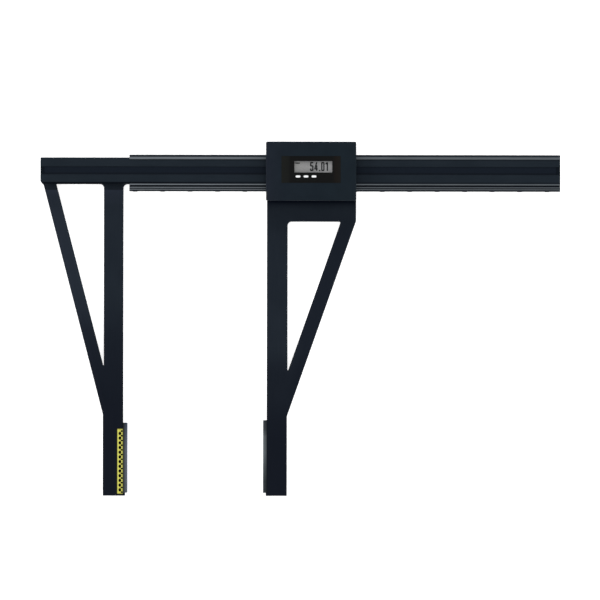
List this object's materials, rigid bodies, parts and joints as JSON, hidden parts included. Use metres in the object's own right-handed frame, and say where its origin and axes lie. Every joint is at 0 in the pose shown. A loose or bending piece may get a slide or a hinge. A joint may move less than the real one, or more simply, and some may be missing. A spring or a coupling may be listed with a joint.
{
  "type": "digital caliper",
  "caption": "Digital caliper with long braced jaws on a railed beam, a display carriage with keys, a clamp screw, a battery tray and flat measuring faces.",
  "frame": {"origin": "centre of the fixed measuring face", "axes": "+X along the beam from the fixed jaw to the sliding jaw, +Y from the jaw tips to the beam, +Z out of the display"},
  "size_m": [0.5195, 0.3542, 0.0429],
  "materials": {
    "anodised_beam": "blue-black satin anodised",
    "anodised_jaw": "blue-black satin anodised",
    "anodised_block": "black satin anodised",
    "rail_steel": "ground, blued",
    "screw_steel": "black oxide",
    "dowel_steel": "ground",
    "spring_steel": "satin",
    "gauge_steel": "fine ground",
    "scale_film": "matt",
    "plug_plastic": "matt",
    "ruler_yellow": "satin",
    "bumper_rubber": "matt",
    "glide_polymer": "matt",
    "bronze": "satin",
    "cover_paint": "satin",
    "overlay_film": "fine matt",
    "window_clear": "clear",
    "lcd_glass": "smooth",
    "frame_plastic": "matt",
    "board_laminate": "satin",
    "chip_black": "matt",
    "shield_steel": "satin",
    "brass": "satin",
    "key_white": "smooth matt"
  },
  "bodies": {
    "frame": {"beam_extrusion": "anodised_beam", "upper_guide_rail": "rail_steel", "lower_guide_rail": "rail_steel", "upper_rail_screws": "screw_steel", "lower_rail_screws": "screw_steel", "scale_strip": "scale_film", "beam_end_plugs": "plug_plastic", "fixed_jaw": "anodised_jaw", "fixed_jaw_screws": "screw_steel", "fixed_jaw_dowels": "dowel_steel", "fixed_measuring_face": "gauge_steel", "fixed_face_screws": "screw_steel", "depth_ruler": "ruler_yellow", "end_stop_block": "anodised_block", "end_stop_screws": "screw_steel", "end_stop_bumper": "bumper_rubber"},
    "slider": {"sliding_jaw": "anodised_jaw", "sliding_measuring_face": "gauge_steel", "sliding_face_screws": "screw_steel", "upper_guide_block": "anodised_block", "lower_guide_block": "anodised_block", "guide_block_screws": "screw_steel", "guide_block_dowels": "dowel_steel", "front_plate": "anodised_block", "front_plate_screws": "screw_steel", "rear_glide_pads": "glide_polymer", "front_glide_pads": "glide_polymer", "lower_glide_pads": "glide_polymer", "gib_strip": "bronze", "gib_springs": "spring_steel", "gib_set_screws": "screw_steel", "lock_bush": "bronze", "end_wipers": "bumper_rubber", "wiper_screws": "screw_steel", "display_cover": "cover_paint", "cover_gasket": "bumper_rubber", "cover_screws": "screw_steel", "display_overlay": "overlay_film", "display_window": "window_clear", "circuit_board": "board_laminate", "board_standoffs": "brass", "board_screws": "screw_steel", "board_chips": "chip_black", "radio_module": "shield_steel", "read_head": "frame_plastic", "lcd_frame": "frame_plastic", "lcd_glass": "lcd_glass", "button_switches": "frame_plastic", "button_membrane": "bumper_rubber", "battery_contacts": "brass"},
    "left_key": {"left_button": "key_white"},
    "middle_key": {"middle_button": "key_white"},
    "right_key": {"right_button": "key_white"},
    "battery": {"battery_tray": "frame_plastic", "battery_cell": "shield_steel"},
    "clamp_pad": {"lock_pad": "bronze"},
    "clamp_screw": {"lock_screw": "screw_steel"}
  },
  "joints": [
    {"name": "slider_travel", "type": "slide", "parent": "frame", "child": "slider", "axis": [1, 0, 0], "range_m": [-0.1355, 0.194]},
    {"name": "left_press", "type": "slide", "parent": "slider", "child": "left_key", "axis": [0, 0, -1], "range_m": [0, 0.0008], "stiffness_N_per_m": 2000},
    {"name": "middle_press", "type": "slide", "parent": "slider", "child": "middle_key", "axis": [0, 0, -1], "range_m": [0, 0.0008], "stiffness_N_per_m": 2000},
    {"name": "right_press", "type": "slide", "parent": "slider", "child": "right_key", "axis": [0, 0, -1], "range_m": [0, 0.0008], "stiffness_N_per_m": 2000},
    {"name": "battery_pull", "type": "slide", "parent": "slider", "child": "battery", "axis": [1, 0, 0], "range_m": [0, 0.026]},
    {"name": "clamp_advance", "type": "slide", "parent": "slider", "child": "clamp_pad", "axis": [0, -1, 0], "range_m": [0, 0.00045]},
    {"name": "clamp_turn", "type": "hinge", "parent": "clamp_pad", "child": "clamp_screw", "pos_m": [0.1839, 0.31, 0.0141], "axis": [0, -1, 0], "range_deg": [0, 232]}
  ],
  "couplings": [
    {"joint": "clamp_turn", "follows": "clamp_advance", "rad_per_m": 8976}
  ]
}
